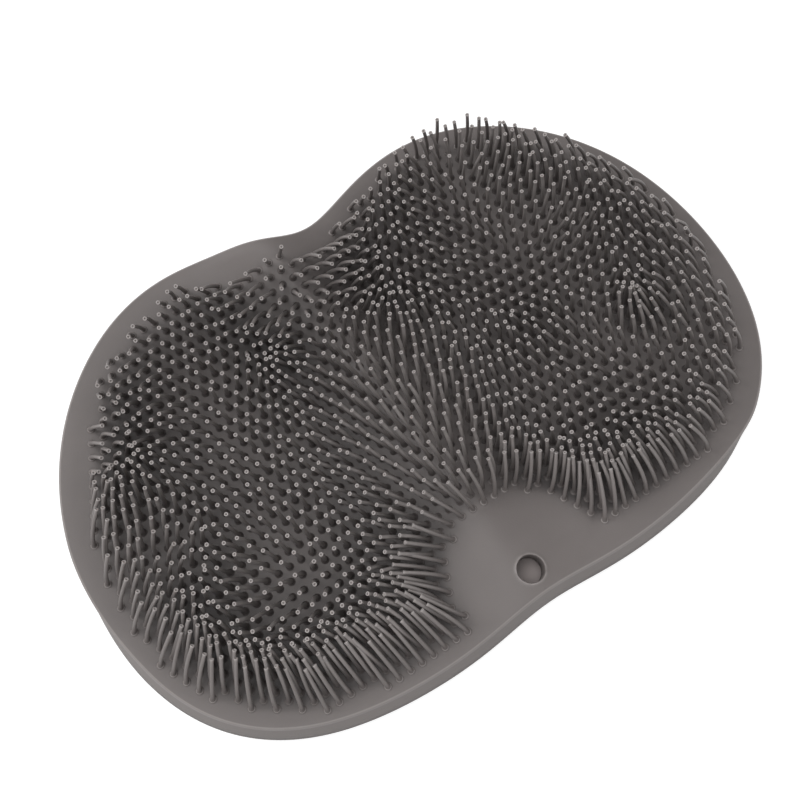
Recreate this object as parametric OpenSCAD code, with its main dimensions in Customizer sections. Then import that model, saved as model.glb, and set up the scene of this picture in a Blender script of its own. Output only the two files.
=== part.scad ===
// Peanut-shaped back scrubber of soft silicone, lying bristles up on its suction cups, in millimetres.
// X is the long axis, -Y is the side with the hanging hole, Z is up, and z = 0 is the plane of the cup lips.

/* [Pad] */
// Overall length of the pad
pad_length = 330; // [310:1:350]
// Overall width across the lobes
pad_width = 225; // [215:1:245]
// Thickness of the pad at the bottom of each dished lobe
floor_thickness = 4; // [3.5:0.1:6]
// Height of the outer border above the bottom of the dishes
border_rise = 7; // [4:0.1:9]
// Height of the crest across the waist above the bottom of the dishes
crest_rise = 6; // [3:0.1:8]
// Half width of the crest
crest_width = 18; // [14:0.5:24]
// How far the crest bends to one side at the far edge
crest_bend = 20; // [0:1:24]
// Rounding of the upper edge
edge_round = 2.8; // [1:0.1:3]

/* [Outline] */
// How far the two lobes stand out along the pad, in millimetres of radius
lobe_reach = 37; // [28:0.5:42]
// How square the ends of the lobes are, in millimetres of radius
lobe_squareness = 3.5; // [2:0.1:6]
// How much deeper the waist is on the far side than on the side of the hole, in millimetres of radius
far_notch = 2.9; // [1:0.1:3.6]

/* [Bristles] */
// Distance between neighbouring bristles
bristle_pitch = 6.8; // [6.4:0.1:9]
// Length of a bristle from root to tip
bristle_length = 23; // [18:0.5:26]
// Diameter of a bristle at its root
bristle_root_d = 2.2; // [1.9:0.1:2.8]
// Diameter of a bristle at its tip
bristle_tip_d = 1.6; // [1.2:0.1:1.8]
// Bare border between the outline and the outer bristles at the ends and the far side
bare_border = 10; // [8:0.5:16]
// Bare border on the side of the hole
bare_near_border = 17; // [14:0.5:24]
// Bare radius round the hanging hole
bare_hole_radius = 33; // [20:1:36]
// Lean of the outer bristles towards the middle of their lobe, measured at the tip
rim_lean = 6.5; // [3:0.5:10]
// Lean that the bristles of the hole side have on top of that
near_rim_lean = 3; // [0:0.5:6]
// Lean away from the crest, measured at the tip
crest_lean = 5; // [2:0.5:8]
// Lean away from the hanging hole, measured at the tip
hole_lean = 8.5; // [4:0.5:12]
// Uneven lean between one bristle and the next
stray_lean = 0.5; // [0:0.1:0.8]

/* [Hanging hole] */
// Diameter of the hanging hole
hole_d = 12; // [8:0.5:16]
// Distance from the centre of the hole to the edge of the pad
hole_to_edge = 15; // [12:0.5:20]

/* [Suction cups] */
// Diameter of a cup at its lip
cup_d = 14; // [10:0.5:18]
// Height of a cup
cup_height = 4; // [3:0.1:6]
// Diameter of the neck that joins a cup to the pad
cup_neck_d = 7; // [5:0.5:8]
// Width of the flat lip that a cup rests on
cup_lip = 0.8; // [0.6:0.1:1.2]
// Distance between neighbouring cups
cup_pitch = 25; // [22:0.5:32]
// Distance from the outline to the centre of the outer cups
cup_border = 17; // [14:0.5:26]

/* [Hidden] */
pad_color = [0.43, 0.40, 0.39];
spokes = 64;
rings = 8;
row_ratio = sqrt(3) / 2;
root_sink = 1.5;
cup_sink = 0.5;
lobe_centre = pad_length * 0.23;
base_radius = 140.2;

// Outline as a radius for each direction, before it is brought to its length and width
function raw_radius(a) =
    base_radius + lobe_reach * cos(2 * a) - lobe_squareness * cos(4 * a) - 0.6 * cos(8 * a)
    - far_notch * (sin(5 * a) - 0.1 * sin(3 * a) - 0.1 * sin(7 * a) - 0.1 * sin(9 * a));
function raw_point(a) = [raw_radius(a) * cos(a), raw_radius(a) * sin(a)];
raw_points = [for (i = [0:spokes - 1]) raw_point(360 * i / spokes)];
raw_x = [for (p = raw_points) p.x];
raw_y = [for (p = raw_points) p.y];
scale_x = pad_length / (max(raw_x) - min(raw_x));
scale_y = pad_width / (max(raw_y) - min(raw_y));
mid_y = (max(raw_y) + min(raw_y)) / 2;

// A point of the pad, from its direction and its share of the way from the middle to the outline
function plan_point(a, q) = [scale_x * q * raw_point(a).x, scale_y * (q * raw_point(a).y - mid_y)];
// The same two values, back from a point
function raw_of(p) = [p.x / scale_x, p.y / scale_y + mid_y];
function direction_of(p) = atan2(raw_of(p).y, raw_of(p).x);
function share_of(p) = norm(raw_of(p)) / raw_radius(direction_of(p));
function outline_of(p) = norm(plan_point(direction_of(p), 1) - plan_point(0, 0));
function from_outline(p) = outline_of(p) * (1 - share_of(p));

// Height of the pad's upper face: two dishes, a border that rises to the edge, and a crest across the waist
function rise_to_border(q) = border_rise * pow(max(0, (q - 0.4) / 0.6), 2);
// The crest bends a little to one side towards the far edge, where it also stays high
function from_crest(p) = p.x + crest_bend * (0.25 + 0.75 * pow(max(0, p.y / pad_width + 0.2) / 0.66, 2));
function crest_at(p) =
    crest_rise * exp(-pow(from_crest(p) / crest_width, 2)) * (1 - pow(share_of(p), 4) * (0.15 - 0.45 * sin(direction_of(p))));
function top_at(p) = cup_height + floor_thickness + rise_to_border(share_of(p)) + crest_at(p);

hole_centre = [0, plan_point(-90, 1).y + hole_to_edge];

// One closed loop of points round the pad, at an inset from the outline and a height against the upper face
function loop_point(i, inset, drop) =
    let (a = 360 * i / spokes, edge = plan_point(a, 1), p = edge * (1 - inset / norm(edge)))
    [p.x, p.y, top_at(p) - drop];
edge_insets = [edge_round, 0.3 * edge_round, 0];
edge_drops = [0, 0.3 * edge_round, edge_round];
top_loops = [for (k = [1:rings]) [for (i = [0:spokes - 1])
    let (a = 360 * i / spokes, edge = plan_point(a, 1), reach = 1 - edge_round / norm(edge), p = edge * reach * k / rings)
    [p.x, p.y, top_at(p)]]];
edge_loops = [for (k = [1:2]) [for (i = [0:spokes - 1]) loop_point(i, edge_insets[k], edge_drops[k])]];
foot_loop = [[for (i = [0:spokes - 1]) let (edge = plan_point(360 * i / spokes, 1)) [edge.x, edge.y, cup_height]]];
loops = concat(top_loops, edge_loops, foot_loop);
loop_count = len(loops);
pad_points = concat([[0, 0, top_at([0, 0])]], [for (loop = loops) for (p = loop) p], [[0, 0, cup_height]]);
function at(k, i) = 1 + k * spokes + i % spokes;
pad_faces = concat(
    [for (i = [0:spokes - 1]) [0, at(0, i + 1), at(0, i)]],
    [for (k = [0:loop_count - 2]) for (i = [0:spokes - 1]) [at(k, i), at(k, i + 1), at(k + 1, i + 1)]],
    [for (k = [0:loop_count - 2]) for (i = [0:spokes - 1]) [at(k, i), at(k + 1, i + 1), at(k + 1, i)]],
    [for (i = [0:spokes - 1]) [at(loop_count - 1, i), at(loop_count - 1, i + 1), len(pad_points) - 1]]
);

// Lean of a bristle, as how far its tip stands from its root in plan
function smooth(t) = let (u = max(0, min(1, t))) u * u * (3 - 2 * u);
function inward(p) = let (d = [max(-lobe_centre, min(lobe_centre, p.x)) - p.x, -p.y]) d / max(norm(d), 0.001);
function near_side(p) = max(0, min(1, -p.y / (pad_width / 4)));
function lean_from_border(p) = inward(p) * smooth((share_of(p) - 0.55) / 0.4) * (rim_lean + near_rim_lean * near_side(p));
function lean_from_hole(p) =
    let (d = p - hole_centre)
    d / max(norm(d), 0.001) * hole_lean * exp(-max(0, norm(d) - bare_hole_radius) / 14);
function lean_from_crest(p) = let (u = from_crest(p) / crest_width) [crest_lean * u * exp(0.5 - u * u / 2), 0];
// The soft bristles also lie in swirls: each is a place, its reach, and how far tips there part or meet
swirls = [
    [0, 30, 22, -7.5],
    [-130, 35, 30, -6],
    [-95, -50, 50, -6],
    [115, -30, 10, -4.5],
    [45, -25, 60, -4.5],
    [-20, 90, 17, 3.5],
    [95, -45, 24, 6],
    [-90, -35, 20, 5],
    [90, 25, 22, 4],
    [-40, 55, 12, -4],
    [55, -30, 18, 4],
    [-50, 40, 30, -3.5]
];
drift = [-1.5, 1.5];
function lean_from_swirl(p, s) =
    let (d = (p - [s[0], s[1]]) / s[2])
    d * s[3] * exp(0.5 - (d * d) / 2);
function swirl_sum(p, k = 0) = k == len(swirls) ? drift : lean_from_swirl(p, swirls[k]) + swirl_sum(p, k + 1);
function limited(v) = v * min(1, 0.72 * bristle_length / max(norm(v), 0.001));
function lean_at(p) = limited(lean_from_border(p) + lean_from_hole(p) + lean_from_crest(p) + swirl_sum(p));

function border_for(p) = bare_border + (bare_near_border - bare_border) * smooth(near_side(p));
function has_bristle(p) = from_outline(p) > border_for(p) && norm(p - hole_centre) > bare_hole_radius;
bristle_rows = ceil(pad_width / 2 / (bristle_pitch * row_ratio));
bristle_columns = ceil(pad_length / 2 / bristle_pitch);
stray = rands(-stray_lean, stray_lean, 4 * (bristle_rows + 1) * (2 * bristle_columns + 2), 11);

module bristle(p, lean) {
    tilt = asin(norm(lean) / bristle_length);
    translate([p.x, p.y, top_at(p)])
        rotate([0, tilt, atan2(lean.y, lean.x)])
            translate([0, 0, -root_sink])
                cylinder(h = bristle_length + root_sink, d1 = bristle_root_d, d2 = bristle_tip_d, $fn = 24);
}

module bristle_field() {
    for (row = [-bristle_rows:bristle_rows])
        for (column = [-bristle_columns:bristle_columns]) {
            p = [bristle_pitch * (column + (row % 2 == 0 ? 0 : 0.5)), bristle_pitch * row_ratio * row];
            pick = 2 * ((row + bristle_rows) * (2 * bristle_columns + 1) + column + bristle_columns);
            if (has_bristle(p)) bristle(p, lean_at(p) + [stray[pick], stray[pick + 1]]);
        }
}

module cup() {
    rotate_extrude($fn = 48)
        polygon([
            [0, 0.5 * cup_height],
            [cup_d / 2 - cup_lip, 0],
            [cup_d / 2, 0],
            [cup_d / 2, 0.15 * cup_height],
            [cup_neck_d / 2, 0.75 * cup_height],
            [cup_neck_d / 2, cup_height + cup_sink],
            [0, cup_height + cup_sink]
        ]);
}

module cup_field() {
    rows = ceil(pad_width / 2 / (cup_pitch * row_ratio));
    columns = ceil(pad_length / 2 / cup_pitch);
    for (row = [-rows:rows])
        for (column = [-columns:columns]) {
            p = [cup_pitch * (column + (row % 2 == 0 ? 0 : 0.5)), cup_pitch * row_ratio * row];
            if (from_outline(p) > cup_border && norm(p - hole_centre) > (hole_d + cup_d) / 2 + 4) translate(p) cup();
        }
}

module scrubber_pad() {
    color(pad_color)
        difference() {
            union() {
                polyhedron(points = pad_points, faces = pad_faces, convexity = 8);
                bristle_field();
                cup_field();
            }
            translate([hole_centre.x, hole_centre.y, 0]) cylinder(h = 4 * cup_height + 4 * floor_thickness, d = hole_d, $fn = 64);
        }
}

scrubber_pad();
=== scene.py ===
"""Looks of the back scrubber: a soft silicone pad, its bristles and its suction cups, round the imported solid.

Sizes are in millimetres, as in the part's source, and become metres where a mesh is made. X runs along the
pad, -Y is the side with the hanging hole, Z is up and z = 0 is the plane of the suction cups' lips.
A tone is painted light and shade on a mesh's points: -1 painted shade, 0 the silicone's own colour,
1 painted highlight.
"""

import math

import bpy
import numpy as np
from mathutils import Matrix, Vector
from mathutils.geometry import delaunay_2d_cdt


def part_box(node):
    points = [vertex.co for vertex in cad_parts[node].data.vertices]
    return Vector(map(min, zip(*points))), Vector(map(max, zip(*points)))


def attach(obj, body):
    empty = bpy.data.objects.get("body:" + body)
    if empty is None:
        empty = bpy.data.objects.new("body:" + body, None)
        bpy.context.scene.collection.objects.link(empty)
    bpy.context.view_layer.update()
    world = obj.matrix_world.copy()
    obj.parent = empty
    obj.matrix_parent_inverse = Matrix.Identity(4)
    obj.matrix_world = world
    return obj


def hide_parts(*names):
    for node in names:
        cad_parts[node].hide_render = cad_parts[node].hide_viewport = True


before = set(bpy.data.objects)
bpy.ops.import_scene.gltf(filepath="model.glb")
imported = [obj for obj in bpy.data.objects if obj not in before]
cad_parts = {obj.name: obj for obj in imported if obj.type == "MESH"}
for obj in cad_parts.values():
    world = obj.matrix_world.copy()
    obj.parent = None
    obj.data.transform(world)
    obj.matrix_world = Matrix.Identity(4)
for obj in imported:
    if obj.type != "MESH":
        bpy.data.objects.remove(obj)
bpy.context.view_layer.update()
NODE = "scrubber_pad"
MM = 0.001

# The pad's form, with the same rules as the part's source
LOW, HIGH = (np.array(corner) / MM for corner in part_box(NODE))
PAD_LENGTH = HIGH[0] - LOW[0]
PAD_WIDTH = HIGH[1] - LOW[1]
CUP_HEIGHT = 4.0
FLOOR_THICKNESS = 4.0
HOLE_D = 12.0
HOLE_TO_EDGE = 15.0
LOBE_CENTRE = 0.23 * PAD_LENGTH

# Waves of the outline, in millimetres of radius before it is brought to the pad's length and width
BASE_RADIUS = 140.2
LOBE_REACH = 37.0
LOBE_SQUARENESS = 3.5
LOBE_FINE_WAVE = 0.6
FAR_NOTCH = 2.9
FAR_NOTCH_TAIL = 0.1
OUTLINE_STEPS = 720
# The photo's far edge of the right lobe is flatter than the solid's: amount, direction in degrees, sharpness
FLATTER = (2.4, 60, 6.4)

# The border rises by BORDER_RISE, from BORDER_START of the way out
BORDER_RISE = 7.0
BORDER_START = 0.4
# The crest's line lies CREST_OFFSET of its bend to one side, and bends further from CREST_BEND_START of the
# pad's width on, until its bend is full CREST_BEND_SPAN later. The crest fades towards the outline on the
# near side and grows on the far one.
CREST_RISE = 6.0
CREST_WIDTH = 18.0
CREST_BEND = 20.0
CREST_OFFSET = 0.25
CREST_BEND_START = -0.2
CREST_BEND_SPAN = 0.66
CREST_FADE = 0.15
CREST_FAR_GAIN = 0.45
NORMAL_STEP = 0.5
TINY = 1e-9


def smooth(t):
    u = np.clip(t, 0, 1)
    return u * u * (3 - 2 * u)


def unit(v):
    return v / np.maximum(np.linalg.norm(v, axis=-1, keepdims=True), TINY)


def raw_radius(a):
    """Outline as a radius for each direction, before it is brought to the pad's length and width."""
    amount, direction, sharpness = FLATTER
    tail = FAR_NOTCH_TAIL * (np.sin(3 * a) + np.sin(7 * a) + np.sin(9 * a))
    return (
        BASE_RADIUS
        + LOBE_REACH * np.cos(2 * a)
        - LOBE_SQUARENESS * np.cos(4 * a)
        - LOBE_FINE_WAVE * np.cos(8 * a)
        - FAR_NOTCH * (np.sin(5 * a) - tail)
        - amount * np.exp(sharpness * (np.cos(a - math.radians(direction)) - 1))
    )


def raw_outline():
    a = 2 * math.pi * np.arange(OUTLINE_STEPS) / OUTLINE_STEPS
    return np.stack([raw_radius(a) * np.cos(a), raw_radius(a) * np.sin(a)], 1)


RAW_HIGH = raw_outline().max(0)
RAW_LOW = raw_outline().min(0)
SCALE = np.array([PAD_LENGTH, PAD_WIDTH]) / (RAW_HIGH - RAW_LOW)
MID_Y = (RAW_HIGH[1] + RAW_LOW[1]) / 2


def plan_point(a, q=1.0):
    """Point of the pad in plan, from its direction and its share of the way out to the outline."""
    a = np.asarray(a, float)
    r = q * raw_radius(a)
    return np.stack([SCALE[0] * r * np.cos(a), SCALE[1] * (r * np.sin(a) - MID_Y)], -1)


def direction_and_share(p):
    """The inverse of plan_point for an array of plan points."""
    raw = np.stack([p[..., 0] / SCALE[0], p[..., 1] / SCALE[1] + MID_Y], -1)
    a = np.arctan2(raw[..., 1], raw[..., 0])
    return a, np.hypot(raw[..., 0], raw[..., 1]) / raw_radius(a)


def from_outline(p):
    """Distance from the outline, along the direction of the point. It is negative outside."""
    a, q = direction_and_share(p)
    return np.linalg.norm(plan_point(a) - plan_point(a, 0.0), axis=-1) * (1 - q)


HOLE_CENTRE = np.array([0.0, plan_point(-math.pi / 2)[1] + HOLE_TO_EDGE])


def from_crest(p):
    """How far a plan point lies to the right of the crest's line."""
    reach = np.maximum(0, p[..., 1] / PAD_WIDTH - CREST_BEND_START) / CREST_BEND_SPAN
    return p[..., 0] + CREST_BEND * (CREST_OFFSET + (1 - CREST_OFFSET) * reach**2)


def top_at(p):
    """Height of the pad's upper face: two dishes, a border that rises to the edge, and a crest between."""
    a, q = direction_and_share(p)
    border = BORDER_RISE * np.maximum(0, (q - BORDER_START) / (1 - BORDER_START)) ** 2
    fade = 1 - q**4 * (CREST_FADE - CREST_FAR_GAIN * np.sin(a))
    crest = CREST_RISE * np.exp(-((from_crest(p) / CREST_WIDTH) ** 2)) * fade
    return CUP_HEIGHT + FLOOR_THICKNESS + border + crest


def slopes(function, p, step):
    """How fast a function of plan points changes along X and along Y."""
    dx = (function(p + [step, 0]) - function(p - [step, 0])) / (2 * step)
    dy = (function(p + [0, step]) - function(p - [0, step])) / (2 * step)
    return dx, dy


def normal_at(p):
    """Unit normal of the upper face at an array of plan points."""
    dx, dy = slopes(top_at, p, NORMAL_STEP)
    return unit(np.stack([-dx, -dy, np.ones_like(dx)], -1))


# Mesh helpers
def put(name, data):
    """A new object in the scene."""
    thing = bpy.data.objects.new(name, data)
    bpy.context.scene.collection.objects.link(thing)
    return thing


def make_piece(name, vertices, faces, material, tones=None):
    """One smooth-shaded piece from points in millimetres, which stands for the pad's node."""
    mesh = bpy.data.meshes.new(name)
    mesh.from_pydata((np.asarray(vertices) * MM).tolist(), [], [list(f) for f in faces])
    mesh.validate()
    mesh.polygons.foreach_set("use_smooth", [True] * len(mesh.polygons))
    mesh.materials.append(material)
    if tones is not None:
        mesh.attributes.new("tone", "FLOAT", "POINT").data.foreach_set("value", np.asarray(tones, float))
    mesh.update()
    piece = put(name, mesh)
    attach(piece, "root")
    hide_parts(NODE)


def ring_quads(first, second, count):
    """Quads between two closed loops of count vertices that start at the numbers first and second."""
    i = np.arange(count)
    j = (i + 1) % count
    return np.stack([first + i, first + j, second + j, second + i], 1)


def unit_circle(count):
    a = 2 * math.pi * np.arange(count) / count
    return np.stack([np.cos(a), np.sin(a)], 1)


def staggered(pitch, row_pitch):
    """Plan points in rows that cover the pad, every second row moved along by half a pitch."""
    last_row = math.ceil(PAD_WIDTH / 2 / row_pitch)
    last_column = math.ceil(PAD_LENGTH / 2 / pitch) + 1
    rows = np.arange(-last_row, last_row + 1)
    columns = np.arange(-last_column, last_column + 1)
    x = pitch * (columns[None] + np.where(rows % 2 == 0, 0, 0.5)[:, None])
    y = np.broadcast_to(row_pitch * rows[:, None], x.shape)
    return np.stack([x, y], -1).reshape(-1, 2)


def from_hole(p):
    """Distance from the centre of the hanging hole."""
    return np.linalg.norm(p - HOLE_CENTRE, axis=-1)


# Pad surface
EDGE_POINTS = 360
HOLE_POINTS = 64
GRID_STEP = 2.2
GRID_ROW_SHARE = 0.866
GRID_CLEARANCE = 1.4
# Points closer than MERGE become one, and a face whose middle is within HOLE_SHARE of the hole's radius goes
MERGE = 1e-6
HOLE_SHARE = 0.999
EDGE_ROUND = 1.3
EDGE_STEPS = 5
WALL_STEPS = (0.1, 0.35, 0.7, 1.0)
# The groove under the outer wall: its radius and the places of its points in degrees from straight down
GROOVE = 1.4
GROOVE_TURNS = (67.5, 45, 22.5)
HOLE_ROUND = 0.5
HOLE_STEPS = 4
# At its foot the hole is wider by HOLE_FLARE, and a finer ring of mesh lies FOOT_RING from its edge
HOLE_FLARE = 0.5
FOOT_RING = 2.0
LIP_WIDTH = 0.7
LIP_HEIGHT = 0.5
# Waves of the lip's height round the hole: turns, share, start
LIP_WAVES = [(3, 0.25, 1), (7, 0.2, 2), (12, 0.15, 0)]
# Finer rings of mesh round the hole, by their distance from its edge
LIP_RINGS = np.array([0.3, 0.65, 1.1, 1.7, 2.6, 3.8])
# Painted highlight on the lip ring round the hanging hole
LIP_PAINTED_HIGHLIGHT = 0.45
# Painted highlight on the rolled corner of the edge
EDGE_PAINTED_HIGHLIGHT = 0.5
# Painted light on the outer wall
WALL_PAINTED_LIGHT = 0.25
# Painted shade on the wall of the hanging hole
HOLE_PAINTED_SHADE = -0.1
# On the near side the outer wall slants outwards by SLANT, because the photo shows it there as a band, and
# its foot stands out by SLANT_SWELL. How far the wall faces NEAR_SIDE says where that starts and is full.
SLANT = 3.4
SLANT_SWELL = 0.85
NEAR_SIDE = np.array([-0.552, -0.834])
NEAR_START = 0.35
NEAR_SPAN = 0.4
# Painted shade on the pad's floor: where the bristles' tips meet over it and where they lean over it, both
# from FIELD_FADE inside the field, then beside the field, and painted light along the top of the crest
CROWD_PAINTED_SHADE = -0.75
CROWD_STEP = 1.0
COVER_PAINTED_SHADE = -0.2
COVER_LEAN = 11.0
FIELD_FADE = 8.0
SHADE_TONE = -0.14
SHADE_REACH = 5.0
# Painted light along the top of the crest: its tone and its width
CREST_PAINTED_LIGHT = 0.2
CREST_LIGHT_WIDTH = 4.5


def lip_at(p):
    """The thin, slightly uneven raised ring round the hanging hole."""
    out = p - HOLE_CENTRE
    a = np.arctan2(out[..., 1], out[..., 0])
    uneven = 1 + sum(share * np.sin(turns * a + start) for turns, share, start in LIP_WAVES)
    return LIP_HEIGHT * uneven * np.exp(-(((from_hole(p) - HOLE_D / 2 - HOLE_ROUND) / LIP_WIDTH) ** 2))


def skin_at(p):
    return top_at(p) + lip_at(p)


def outline_loop(inset):
    """The outline, moved in by inset along its own normal, and that normal."""
    p = plan_point(2 * math.pi * np.arange(EDGE_POINTS) / EDGE_POINTS)
    along = np.roll(p, -1, 0) - np.roll(p, 1, 0)
    inward = unit(np.stack([-along[:, 1], along[:, 0]], 1))
    return p + np.broadcast_to(inset, EDGE_POINTS)[:, None] * inward, inward


def near_side():
    """Which points of the outline are on the side that the photo shows the outer wall of: 0 to 1."""
    _, inward = outline_loop(0)
    return smooth((-inward @ NEAR_SIDE - NEAR_START) / NEAR_SPAN)


def hole_loop(radius):
    return HOLE_CENTRE + radius * unit_circle(HOLE_POINTS)


def inside(points, loop):
    """Which plan points lie inside a closed loop, by counting the crossings of a line to the right."""
    a, b = loop[None], np.roll(loop, -1, 0)[None]
    x, y = points[:, 0, None], points[:, 1, None]
    spans = (a[..., 1] > y) != (b[..., 1] > y)
    rise = np.where(b[..., 1] == a[..., 1], 1, b[..., 1] - a[..., 1])
    crossing = a[..., 0] + (y - a[..., 1]) / rise * (b[..., 0] - a[..., 0])
    return (spans & (x < crossing)).sum(1) % 2 == 1


def mesh_grid(inset, hole_clearance):
    """Plan points in staggered rows, clear of the pad's edge and of the hole."""
    rows = np.arange(-PAD_WIDTH / 2, PAD_WIDTH / 2, GRID_STEP * GRID_ROW_SHARE)
    columns = np.arange(-PAD_LENGTH / 2, PAD_LENGTH / 2, GRID_STEP)
    shift = (np.arange(len(rows)) % 2 * GRID_STEP / 2)[:, None]
    grid = np.stack(np.broadcast_arrays(columns[None] + shift, rows[:, None]), -1).reshape(-1, 2)
    clear = from_outline(grid) > inset + GRID_CLEARANCE
    return grid[clear & (from_hole(grid) > hole_clearance + GRID_CLEARANCE)]


def filled_face(edge, hole_radius, ring_radii):
    """Triangles that fill the pad's plan between its edge loop and the hole.

    Gives the plan points, the faces, and the numbers of the edge's points and of the hole's points.
    """
    inset = np.linalg.norm(edge - outline_loop(0)[0], axis=1).max()
    rings = [hole_loop(radius) for radius in ring_radii]
    points = np.concatenate([edge, hole_loop(hole_radius), *rings, mesh_grid(inset, max(ring_radii))])
    constraints = [
        (start + i, start + (i + 1) % count)
        for start, count in ((0, EDGE_POINTS), (EDGE_POINTS, HOLE_POINTS))
        for i in range(count)
    ]
    result = delaunay_2d_cdt([Vector(p) for p in points], constraints, [], 0, MERGE)
    plan = np.array([tuple(v) for v in result[0]])
    faces = np.array(result[2])
    sources = [group[0] for group in result[3]]
    place = np.empty(len(points), int)
    place[sources] = np.arange(len(sources))
    middle = plan[faces].mean(1)
    keep = inside(middle, edge) & (from_hole(middle) > hole_radius * HOLE_SHARE)
    return plan, faces[keep], place[:EDGE_POINTS], place[EDGE_POINTS:EDGE_POINTS + HOLE_POINTS]


def rounded(steps, radius):
    """Steps round a quarter turn: how far in and how far down from the corner of the two faces."""
    turns = np.linspace(0, math.pi / 2, steps + 1)[1:]
    return [(radius * (1 - math.sin(turn)), radius * (1 - math.cos(turn))) for turn in turns]


class Skin:
    """The pad's mesh as it grows: points with their tones, and bands of faces between loops of points."""

    def __init__(self):
        self.vertices = []
        self.tones = []
        self.faces = []
        self.count = 0

    def add(self, plan, heights, tone=0.0):
        """Add points and give their numbers."""
        numbers = self.count + np.arange(len(plan))
        self.vertices.append(np.column_stack([plan, np.broadcast_to(heights, len(plan))]))
        self.tones.append(np.broadcast_to(tone, len(plan)))
        self.count += len(plan)
        return numbers

    def band(self, first, second, outer):
        """Quads between two loops of point numbers, for the pad's outer wall or for the wall of the hole."""
        quads = np.stack([first, np.roll(first, -1), np.roll(second, -1), second], 1)
        self.faces += (quads[:, ::-1] if outer else quads).tolist()

    def wall(self, start, loops, outer):
        """Bands from the loop of point numbers start through each new loop. Gives the last one's numbers."""
        numbers = start
        for plan, heights, tone in loops:
            new = self.add(plan, heights, tone)
            self.band(numbers, new, outer)
            numbers = new
        return numbers


def floor_tones(plan):
    """Tones of the pad's upper face: painted shade and painted light."""
    depth = into_field(plan)
    cover = COVER_PAINTED_SHADE * smooth(np.linalg.norm(lean_at(plan), axis=1) / COVER_LEAN)
    tones = SHADE_TONE * np.exp(-np.maximum(0, -depth) / SHADE_REACH)
    tones += (CROWD_PAINTED_SHADE * crowding(plan) + cover) * smooth(depth / FIELD_FADE)
    tones += CREST_PAINTED_LIGHT * np.exp(-((from_crest(plan) / CREST_LIGHT_WIDTH) ** 2)) * (depth > 0)
    return tones + LIP_PAINTED_HIGHLIGHT * lip_at(plan) / LIP_HEIGHT


def outer_loops(slant, swell, edge_height):
    """The pad's outer side from its rolled edge down to its groove: plan points, heights and tone, a painted
    highlight on the rolled edge and painted light on the wall.
    """
    wall_top = edge_height - EDGE_ROUND
    wall_foot = CUP_HEIGHT + GROOVE
    loops = []
    for inset, drop in rounded(EDGE_STEPS, EDGE_ROUND):
        loops.append((outline_loop(slant + inset)[0], edge_height - drop, EDGE_PAINTED_HIGHLIGHT))
    for t in WALL_STEPS:
        plan, _ = outline_loop(slant * (1 - t) - swell * t)
        loops.append((plan, wall_top * (1 - t) + wall_foot * t, WALL_PAINTED_LIGHT))
    for turn in np.radians(GROOVE_TURNS):
        plan, _ = outline_loop(GROOVE * math.sin(turn) - swell)
        loops.append((plan, wall_foot - GROOVE * math.cos(turn), 0.0))
    return loops


def hole_loops():
    """The wall of the hanging hole from its rounded upper edge down: plan points, heights and tone, which is
    painted shade.
    """
    radius = HOLE_D / 2
    lip_height = skin_at(hole_loop(radius + HOLE_ROUND))
    low = lip_height - HOLE_ROUND
    loops = [
        (hole_loop(radius + inset), lip_height - drop, HOLE_PAINTED_SHADE)
        for inset, drop in rounded(HOLE_STEPS, HOLE_ROUND)
    ]
    for t in (0.5, 1.0):
        loops.append((hole_loop(radius), low * (1 - t) + (CUP_HEIGHT + HOLE_FLARE) * t, HOLE_PAINTED_SHADE))
    return loops


def make_pad(material):
    """The sheet with its rolled edge, its flat underside and the wall of the hanging hole."""
    skin = Skin()
    slant, swell = SLANT * near_side(), SLANT_SWELL * near_side()
    top_edge, _ = outline_loop(slant + EDGE_ROUND)
    hole_top = HOLE_D / 2 + HOLE_ROUND
    plan, faces, edge, hole = filled_face(top_edge, hole_top, hole_top + LIP_RINGS)
    numbers = skin.add(plan, skin_at(plan), floor_tones(plan))
    skin.faces += faces.tolist()
    wall_end = skin.wall(numbers[edge], outer_loops(slant, swell, top_at(top_edge)), outer=True)

    foot_edge, _ = outline_loop(GROOVE - swell)
    hole_foot = HOLE_D / 2 + HOLE_FLARE
    plan, faces, edge, foot_hole = filled_face(foot_edge, hole_foot, [HOLE_D / 2 + FOOT_RING])
    foot_numbers = skin.add(plan, CUP_HEIGHT)
    skin.faces += foot_numbers[faces][:, ::-1].tolist()
    skin.band(wall_end, foot_numbers[edge], outer=True)

    wall_end = skin.wall(numbers[hole], hole_loops(), outer=False)
    skin.band(wall_end, foot_numbers[foot_hole], outer=False)
    make_piece("pad_sheet", np.concatenate(skin.vertices), skin.faces, material, np.concatenate(skin.tones))


# Bristles
BRISTLE_PITCH = 5.72
ROW_PITCH = 5.95
BRISTLE_LENGTH = 23.5
ROOT_RADIUS = 0.98
TIP_RADIUS = 0.8
BARE_BORDER = 9.2
BARE_HOLE_RADIUS = 33.0
# What into_field gives for a point beyond the outline, and how far in the field is no longer its rim
OUTSIDE = -1.0
FIELD_RIM = 14.0
# Where the bare border is wider or narrower: direction in degrees, spread in degrees, extra width
BORDER_CHANGES = [
    (-80, 26, 9),
    (-64, 8, 3),
    (-38, 12, 0.5),
    (6, 16, -3.5),
    (50, 18, -2.2),
    (112, 9, 8),
    (132, 12, 2.5),
    (160, 8, 4.5),
]
# Lean of the tips along the rim, as waves round the outline: turns, share with the cosine, share with the
# sine. The first list leans them inwards, the second along the rim. The rim's lean starts at a share of the
# way out and is full a span further.
RIM_LEAN = [(0, 10.2, 0), (1, -0.3, -2.8), (2, -0.8, -0.2), (3, -1.1, 0.6)]
RIM_DRIFT = [(0, -1.2, 0), (1, -1.6, 1.6), (2, 2.8, -2.0), (3, -0.7, -1.4)]
RIM_START = 0.55
RIM_SPAN = 0.4
CREST_LEAN = 4.2
HOLE_LEAN = 9.7
HOLE_LEAN_REACH = 14
DRIFT = np.array([-1.8, 1.6])
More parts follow.
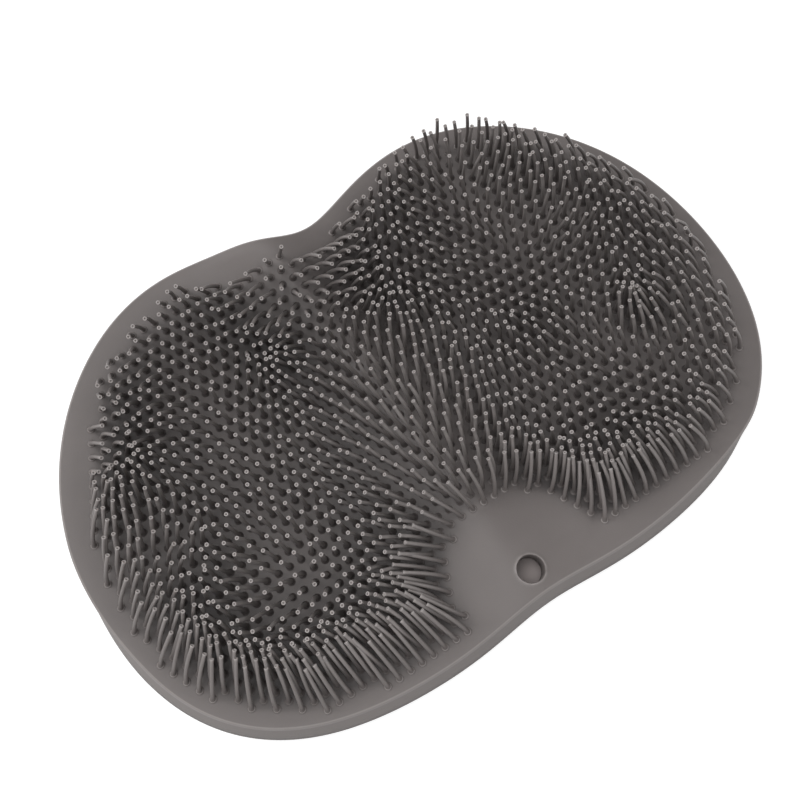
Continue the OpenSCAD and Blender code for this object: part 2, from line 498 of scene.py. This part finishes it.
# Places where the soft tips part (positive) or meet (negative): x, y, reach, amount
SWIRLS = [
    (13, 42, 22, -4.6),
    (-145, 49, 36, -6.3),
    (-100, -57, 53, -8.6),
    (114, -24, 12, -5.0),
    (60, -36, 61, -4.7),
    (-18, 88, 18, 3.7),
    (101, -41, 30, 6.7),
    (-91, -41, 22, 7.0),
    (94, 39, 26, 6.3),
    (-40, 50, 14, -2.4),
    (53, -33, 16, 2.9),
    (-39, 35, 31, -4.2),
    (-137, 63, 13, 4.4),
    (112, 100, 48, -4.0),
    (80, 80, 19, 6.5),
    (-130, 2, 18, 4.3),
]
# In the middle of the pad the tips all lean to the far side
MIDDLE = np.array([-6, -15])
MIDDLE_REACH = 24
MIDDLE_LEAN = np.array([0, 9])
# Shares of a bristle's length: its lean is at most MOST_LEAN, root and tip are at least SHORTEST apart, and
# it bends over between the two in BEND. UPRIGHT is how much it starts along the pad's normal.
MOST_LEAN = 0.87
SHORTEST = 0.975
BEND = (0.42, 0.56)
UPRIGHT = 0.55
STRAY_LEAN = 0.8
STRAY_BEND = 0.5
BRISTLE_SEED = 7
BRISTLE_SIDES = 10
BRISTLE_PIECES = 5
# Foot at the root: height above the pad, radius, tone inside the field, painted shade, and tone at the field's
# rim, a painted highlight on the foot's flange
FOOT = [
    (-0.3, 1.9, -0.5, -0.1),
    (0.1, 1.87, -0.65, -0.15),
    (0.16, 1.46, -0.65, 0.3),
    (0.34, 1.42, -0.5, 0.9),
    (0.56, 1.3, -0.4, 0.8),
    (0.66, 1.12, -0.6, -0.1),
    (1.2, 0.98, -0.4, 0),
]
# Painted light on the stems at the rim, what is added to it inside the field, and the share of both at the root
STEM_STEPS = 8
STEM_PAINTED_LIGHT = 0.3
STEM_DEEP_PAINTED_LIGHT = 0.35
STEM_ROOT_SHARE = 0.3
# Flared tip with its dimple: height below the tip, radius as a share of the tip radius, tone, a painted
# highlight
TIP = [
    (1.4, 1.0, 0.4),
    (0.75, 1.05, 0.6),
    (0.35, 1.16, 0.9),
    (0.12, 1.2, 1),
    (0.0, 1.08, 1),
    (0.02, 0.76, 1),
    (0.16, 0.54, 0.6),
    (0.38, 0.42, 0.1),
    (0.42, 0.0, 0.1),
]


def waves(rows, a):
    return sum(c * np.cos(k * a) + s * np.sin(k * a) for k, c, s in rows)


def lean_at(p):
    """How far a bristle's tip stands from its root in plan, as a vector."""
    a, q = direction_and_share(p)
    inwards = unit(np.stack([np.clip(p[:, 0], -LOBE_CENTRE, LOBE_CENTRE) - p[:, 0], -p[:, 1]], 1))
    along = np.stack([-inwards[:, 1], inwards[:, 0]], 1)
    at_rim = smooth((q - RIM_START) / RIM_SPAN)
    lean = inwards * (at_rim * waves(RIM_LEAN, a))[:, None] + along * (at_rim * waves(RIM_DRIFT, a))[:, None]
    past_bare = np.maximum(0, from_hole(p) - BARE_HOLE_RADIUS)
    lean += unit(p - HOLE_CENTRE) * (HOLE_LEAN * np.exp(-past_bare / HOLE_LEAN_REACH))[:, None]
    u = from_crest(p) / CREST_WIDTH
    lean[:, 0] += CREST_LEAN * u * np.exp(0.5 - u * u / 2)
    for x, y, reach, amount in SWIRLS:
        d = (p - [x, y]) / reach
        lean += d * (amount * np.exp(0.5 - (d**2).sum(1) / 2))[:, None]
    d = (p - MIDDLE) / MIDDLE_REACH
    lean += MIDDLE_LEAN * np.exp(-(d**2).sum(1) / 2)[:, None]
    return lean + DRIFT


def crowding(p):
    """How much closer the tips come than their roots: 0 where they keep their distance, 1 where they meet."""
    dx, dy = slopes(lean_at, p, CROWD_STEP)
    return np.clip(1 - (1 + dx[:, 0]) * (1 + dy[:, 1]) + dx[:, 1] * dy[:, 0], 0, 1)


def into_field(p):
    """How far a plan point lies inside the bare border."""
    a, q = direction_and_share(p)
    border = BARE_BORDER + sum(
        extra * np.exp(-(((np.degrees(a) - direction) / spread) ** 2))
        for direction, spread, extra in BORDER_CHANGES
    )
    return np.where(q < 1, np.minimum(from_outline(p) - border, from_hole(p) - BARE_HOLE_RADIUS), OUTSIDE)


def bristle_roots():
    p = staggered(BRISTLE_PITCH, ROW_PITCH)
    return p[into_field(p) > 0]


def bristle_curves(p, rng):
    """Root, bend and tip of every bristle: it leaves the pad near its normal and bends over to its tip."""
    lean = lean_at(p) + rng.normal(0, STRAY_LEAN, p.shape)
    size = np.linalg.norm(lean, axis=1, keepdims=True)
    lean *= np.minimum(1, MOST_LEAN * BRISTLE_LENGTH / np.maximum(size, TINY))
    root = np.column_stack([p, top_at(p)])
    chord = BRISTLE_LENGTH * rng.uniform(SHORTEST, 1.0, len(p))
    rise = np.sqrt(chord**2 - (lean**2).sum(1))
    tip = root + np.column_stack([lean, rise])
    start = unit(UPRIGHT * normal_at(p) + (1 - UPRIGHT) * unit(tip - root))
    reach = BRISTLE_LENGTH * rng.uniform(*BEND, len(p))
    bend = root + start * reach[:, None] + rng.normal(0, STRAY_BEND, (len(p), 3))
    return root, bend, tip


def curve_at(root, bend, tip, t):
    """Point and unit direction at share t of each bristle's curve."""
    point = (1 - t) ** 2 * root + 2 * t * (1 - t) * bend + t**2 * tip
    return point, unit(2 * (1 - t) * (bend - root) + 2 * t * (tip - bend))


def bristle_rings(p, rng):
    """The rings of every bristle from its foot to its dimple: centres, axes, radius and tones of painted light
    and shade.
    """
    curve = bristle_curves(p, rng)
    normal = normal_at(p)
    deep = smooth(into_field(p) / FIELD_RIM)
    # Painted shade on the lower stems where the tips meet over them
    crowd_shade = CROWD_PAINTED_SHADE * crowding(p) * deep
    rings = []
    for height, radius, tone_inside, tone_rim in FOOT:
        rings.append((curve[0] + normal * height, normal, radius, tone_rim + (tone_inside - tone_rim) * deep))
    start, stop = FOOT[-1][0] / BRISTLE_LENGTH, 1 - TIP[0][0] / BRISTLE_LENGTH
    for t in np.linspace(start, stop, STEM_STEPS + 2)[1:-1]:
        point, along = curve_at(*curve, t)
        share = STEM_ROOT_SHARE + (1 - STEM_ROOT_SHARE) * t
        tone = (STEM_PAINTED_LIGHT + STEM_DEEP_PAINTED_LIGHT * deep) * share + crowd_shade * (1 - t)
        rings.append((point, along, ROOT_RADIUS + (TIP_RADIUS - ROOT_RADIUS) * t, tone))
    end, along = curve_at(*curve, 1.0)
    for depth, share, tone in TIP:
        rings.append((end - along * depth, along, TIP_RADIUS * share, tone))
    return rings


def ring_points(rings, turn):
    """Points round each ring of each bristle, as an array of bristle, ring, side and coordinate."""
    circle = unit_circle(BRISTLE_SIDES)[None, :, :, None]
    start = np.column_stack([np.sin(turn), -np.cos(turn), 0 * turn])
    loops = []
    for centre, axis, radius, _ in rings:
        across = unit(np.cross(axis, start))[:, None]
        other = np.cross(axis, across[:, 0])[:, None]
        loops.append(centre[:, None] + radius * (across * circle[:, :, 0] + other * circle[:, :, 1]))
    return np.stack(loops, 1)


def bristle_faces(ring_count):
    """Quads between the rings of one bristle, and the triangles that close its dimple at one middle point."""
    last = (ring_count - 2) * BRISTLE_SIDES
    quads = np.concatenate([
        ring_quads(k * BRISTLE_SIDES, (k + 1) * BRISTLE_SIDES, BRISTLE_SIDES) for k in range(ring_count - 2)
    ])
    cap = [(last + i, last + (i + 1) % BRISTLE_SIDES, last + BRISTLE_SIDES) for i in range(BRISTLE_SIDES)]
    return quads, np.array(cap)


def make_bristles(material):
    """All bristles as a few pieces, each bristle a lathe-like skin swept along its curve."""
    rng = np.random.default_rng(BRISTLE_SEED)
    p = bristle_roots()
    rings = bristle_rings(p, rng)
    points = ring_points(rings, rng.uniform(0, 2 * math.pi, len(p)))
    points = np.concatenate([points[:, :-1].reshape(len(p), -1, 3), points[:, -1, :1]], 1)
    size = points.shape[1]
    tones = np.stack([np.broadcast_to(tone, len(p)) for *_, tone in rings], 1)
    tones = np.repeat(tones, BRISTLE_SIDES, 1)[:, :size]
    quads, cap = bristle_faces(len(rings))
    for number, chosen in enumerate(np.array_split(np.argsort(p[:, 0], kind="stable"), BRISTLE_PIECES)):
        offset = size * np.arange(len(chosen))[:, None, None]
        faces = (offset + quads).reshape(-1, 4).tolist() + (offset + cap).reshape(-1, 3).tolist()
        vertices = points[chosen].reshape(-1, 3)
        make_piece(f"bristles_{number}", vertices, faces, material, tones[chosen].ravel())


# Suction cups
CUP_PITCH = 25.0
CUP_BORDER = 17.0
CUP_TO_HOLE = 4.0
CUP_SIDES = 32
# Profile of a cup from its hollow to its neck: radius and height
CUP_PROFILE = [
    (0.0, 2.3),
    (1.6, 2.25),
    (3.2, 1.9),
    (4.8, 1.2),
    (6.2, 0.3),
    (6.6, 0.02),
    (6.85, 0.0),
    (7.0, 0.14),
    (6.9, 0.5),
    (6.2, 1.2),
    (5.2, 2.0),
    (4.2, 2.7),
    (3.7, 3.2),
    (3.5, 3.8),
    (3.7, 4.15),
    (4.2, 4.35),
]
CUP_RADIUS = max(radius for radius, _ in CUP_PROFILE)


def cup_places():
    p = staggered(CUP_PITCH, CUP_PITCH * math.sqrt(3) / 2)
    clear_of_hole = from_hole(p) > HOLE_D / 2 + CUP_RADIUS + CUP_TO_HOLE
    return p[(from_outline(p) > CUP_BORDER) & clear_of_hole]


def make_cups(material):
    """All suction cups, joined in one piece."""
    ring = unit_circle(CUP_SIDES)
    loops = [np.column_stack([ring * radius, np.full(CUP_SIDES, z)]) for radius, z in CUP_PROFILE[1:]]
    one = np.concatenate([[[0, 0, CUP_PROFILE[0][1]]], *loops])
    faces = [(0, 1 + (i + 1) % CUP_SIDES, 1 + i) for i in range(CUP_SIDES)]
    for k in range(len(loops) - 1):
        faces += ring_quads(1 + k * CUP_SIDES, 1 + (k + 1) * CUP_SIDES, CUP_SIDES).tolist()
    places = cup_places()
    vertices = np.concatenate([one + [x, y, 0] for x, y in places])
    all_faces = [[i + n * len(one) for i in face] for n in range(len(places)) for face in faces]
    make_piece("suction_cups", vertices, all_faces, material)


# Materials: the silicone's own colour, its painted highlight colour where the tone is 1 and its painted shade
# colour where it is -1
GREY = (0.162, 0.144, 0.139)
PAINTED_HIGHLIGHT_COLOUR = (0.38, 0.35, 0.34)
PAINTED_SHADE_COLOUR = (0.04, 0.034, 0.033)
PAD_ROUGHNESS = 0.5
BRISTLE_ROUGHNESS = 0.36
# How far the colour and the roughness vary, and the depth of the moulded grain in metres
MOTTLE = 0.06
POLISH = (-0.05, 0.07)
GRAIN = 0.0002
FLOOR_PAINT = 0.42
FLOOR_GLOW = 0.74
FLOOR_UNSEEN = 0.8
# Warm grey of the disc seen through the hanging hole: painted shade, besides the pad's real shadow on it
HOLE_SHADE_COLOUR = (0.42, 0.37, 0.36)


def new_material(name):
    material = bpy.data.materials.new(name)
    material.use_nodes = True
    return material, material.node_tree.nodes, material.node_tree.links


def new_node(nodes, kind, **inputs):
    """A node with its inputs set. In a keyword, an underscore stands for the space in the input's name."""
    node = nodes.new(kind)
    for name, value in inputs.items():
        node.inputs[name.replace("_", " ")].default_value = value
    return node


def grey(value):
    return (value, value, value, 1)


def mottled_colour(nodes, links, cloud):
    """The silicone's own colour, a little uneven."""
    tint = nodes.new("ShaderNodeValToRGB")
    for element, position, gain in zip(tint.color_ramp.elements, (0.3, 0.7), (1 - MOTTLE, 1 + MOTTLE)):
        element.position = position
        element.color = [c * gain for c in GREY] + [1]
    links.new(cloud.outputs["Fac"], tint.inputs["Fac"])
    return tint.outputs["Color"]


def toned_colour(nodes, links, colour):
    """A colour with painted light and shade: paler or darker with the mesh's tone values."""
    tone = nodes.new("ShaderNodeAttribute")
    tone.attribute_name = "tone"
    for full, other in ((1, PAINTED_HIGHLIGHT_COLOUR), (-1, PAINTED_SHADE_COLOUR)):
        share = new_node(nodes, "ShaderNodeMapRange", From_Min=0, From_Max=full)
        mix = new_node(nodes, "ShaderNodeMixRGB", Color2=(*other, 1))
        links.new(tone.outputs["Fac"], share.inputs["Value"])
        links.new(share.outputs["Result"], mix.inputs["Fac"])
        links.new(colour, mix.inputs["Color1"])
        colour = mix.outputs["Color"]
    return colour


def silicone(name, roughness, toned=False):
    """Satin silicone: a slightly uneven colour, a fine moulded grain and a soft gloss that varies. When toned,
    its colour carries painted light and shade.
    """
    material, nodes, links = new_material(name)
    shader = nodes["Principled BSDF"]
    shader.inputs["IOR"].default_value = 1.42
    shader.inputs["Subsurface Weight"].default_value = 0.08
    shader.inputs["Subsurface Radius"].default_value = (1.0, 0.8, 0.7)
    shader.inputs["Subsurface Scale"].default_value = 0.0015

    where = nodes.new("ShaderNodeTexCoord")
    cloud = new_node(nodes, "ShaderNodeTexNoise", Scale=28.0, Detail=4.0)
    links.new(where.outputs["Object"], cloud.inputs["Vector"])
    colour = mottled_colour(nodes, links, cloud)
    if toned:
        colour = toned_colour(nodes, links, colour)
    links.new(colour, shader.inputs["Base Color"])

    least, most = (roughness + change for change in POLISH)
    polish = new_node(nodes, "ShaderNodeMapRange", To_Min=least, To_Max=most)
    links.new(cloud.outputs["Fac"], polish.inputs["Value"])
    links.new(polish.outputs["Result"], shader.inputs["Roughness"])

    fine = new_node(nodes, "ShaderNodeTexNoise", Scale=1400.0, Detail=2.0)
    bump = new_node(nodes, "ShaderNodeBump", Strength=0.25, Distance=GRAIN)
    links.new(where.outputs["Object"], fine.inputs["Vector"])
    links.new(fine.outputs["Fac"], bump.inputs["Height"])
    links.new(bump.outputs["Normal"], shader.inputs["Normal"])
    return material


def seen_or_not(nodes, links, unseen, seen, output):
    """Show the camera one shader, and give every other ray the other."""
    ray = nodes.new("ShaderNodeLightPath")
    choose = nodes.new("ShaderNodeMixShader")
    links.new(ray.outputs["Is Camera Ray"], choose.inputs["Fac"])
    links.new(unseen.outputs[0], choose.inputs[1])
    links.new(seen.outputs[0], choose.inputs[2])
    links.new(choose.outputs[0], nodes[output].inputs["Surface"])


def floor_material():
    """White floor that stays white behind the object and keeps a faint shadow."""
    material, nodes, links = new_material("floor_white")
    nodes.remove(nodes["Principled BSDF"])
    seen = nodes.new("ShaderNodeAddShader")
    paint = new_node(nodes, "ShaderNodeBsdfDiffuse", Color=grey(FLOOR_PAINT))
    glow = new_node(nodes, "ShaderNodeEmission", Color=grey(1), Strength=FLOOR_GLOW)
    links.new(paint.outputs[0], seen.inputs[0])
    links.new(glow.outputs[0], seen.inputs[1])
    unseen = new_node(nodes, "ShaderNodeBsdfDiffuse", Color=grey(FLOOR_UNSEEN))
    seen_or_not(nodes, links, unseen, seen, "Material Output")
    return material


def hole_shade_material():
    """Matt warm grey disc under the hanging hole, without the floor's glow: painted shade, darkened by real
    shadow too.
    """
    material, nodes, _ = new_material("hole_shade_disc")
    nodes["Principled BSDF"].inputs["Base Color"].default_value = (*HOLE_SHADE_COLOUR, 1)
    nodes["Principled BSDF"].inputs["Roughness"].default_value = 0.9
    return material


# Floor, lights and camera
FLOOR_SIZE = 6000.0
DISC_LIFT = 0.05
DOME_STRENGTH = 0.3
# Lamps: name, place in metres, width in metres, power in watts
LAMPS = [
    ("above", (-0.25, 0.1, 1.7), 1.0, 11.8),
    ("far_left", (-0.86, 0.81, 0.92), 0.7, 7.6),
    ("near_left", (-0.93, -0.6, 0.95), 0.7, 2.5),
    ("right", (0.98, -0.65, 0.92), 0.7, 3.4),
]
# The photograph's viewpoint: height angle, turn, distance in millimetres, focal length in picture pixels,
# and where the pad's middle lies from the picture's centre
VIEW_HEIGHT = math.radians(73.1)
VIEW_TURN = math.radians(-33.5)
VIEW_DISTANCE = 414.0
VIEW_TARGET = Vector((0, -2.1, 0))
FOCAL_PIXELS = 880.4
SHIFT_PIXELS = (11.5, 7.0)
PICTURE = 800
SENSOR_WIDTH = 36


def flat_stage(name, plan, height, material):
    """A flat piece of the stage from its corners in plan."""
    mesh = bpy.data.meshes.new(name)
    mesh.from_pydata([(x * MM, y * MM, height * MM) for x, y in plan], [], [range(len(plan))])
    mesh.materials.append(material)
    put(name, mesh)


def make_floor():
    half = FLOOR_SIZE / 2
    corners = [(-half, -half), (half, -half), (half, half), (-half, half)]
    flat_stage("floor", corners, 0, floor_material())
    flat_stage("hole_shade_patch", hole_loop(HOLE_D), DISC_LIFT, hole_shade_material())


def area_light(name, place, size, power):
    """A soft square lamp that looks at the middle of the pad."""
    lamp = bpy.data.lights.new(name, "AREA")
    lamp.size = size
    lamp.energy = power
    place = Vector(place)
    turn = place.to_track_quat("Z", "Y").to_matrix().to_4x4()
    put(name, lamp).matrix_world = Matrix.Translation(place) @ turn


def make_light():
    bpy.context.scene.view_settings.view_transform = "Standard"
    world = bpy.data.worlds.new("studio")
    bpy.context.scene.world = world
    world.use_nodes = True
    nodes, links = world.node_tree.nodes, world.node_tree.links
    dome = nodes["Background"]
    seen = nodes.new("ShaderNodeBackground")
    for background, strength in ((dome, DOME_STRENGTH), (seen, 1.0)):
        background.inputs["Color"].default_value = grey(1)
        background.inputs["Strength"].default_value = strength
    seen_or_not(nodes, links, dome, seen, "World Output")
    for lamp in LAMPS:
        area_light(*lamp)


def make_camera():
    camera = put("camera", bpy.data.cameras.new("camera"))
    bpy.context.scene.camera = camera
    back = Vector((
        math.sin(VIEW_TURN) * math.cos(VIEW_HEIGHT),
        -math.cos(VIEW_TURN) * math.cos(VIEW_HEIGHT),
        math.sin(VIEW_HEIGHT),
    ))
    right = Vector((math.cos(VIEW_TURN), math.sin(VIEW_TURN), 0))
    up = back.cross(right)
    place = (VIEW_TARGET + back * VIEW_DISTANCE) * MM
    turn = Matrix((right, up, back)).transposed().to_4x4()
    camera.matrix_world = Matrix.Translation(place) @ turn
    camera.data.sensor_width = SENSOR_WIDTH
    camera.data.lens = SENSOR_WIDTH * FOCAL_PIXELS / PICTURE
    camera.data.shift_x = -SHIFT_PIXELS[0] / PICTURE
    camera.data.shift_y = SHIFT_PIXELS[1] / PICTURE
    camera.data.clip_start = 0.01


make_camera()
make_light()
make_floor()
make_pad(silicone("silicone_pad", PAD_ROUGHNESS, toned=True))
make_bristles(silicone("silicone_bristles", BRISTLE_ROUGHNESS, toned=True))
make_cups(silicone("silicone_cups", PAD_ROUGHNESS))

bpy.context.view_layer.update()
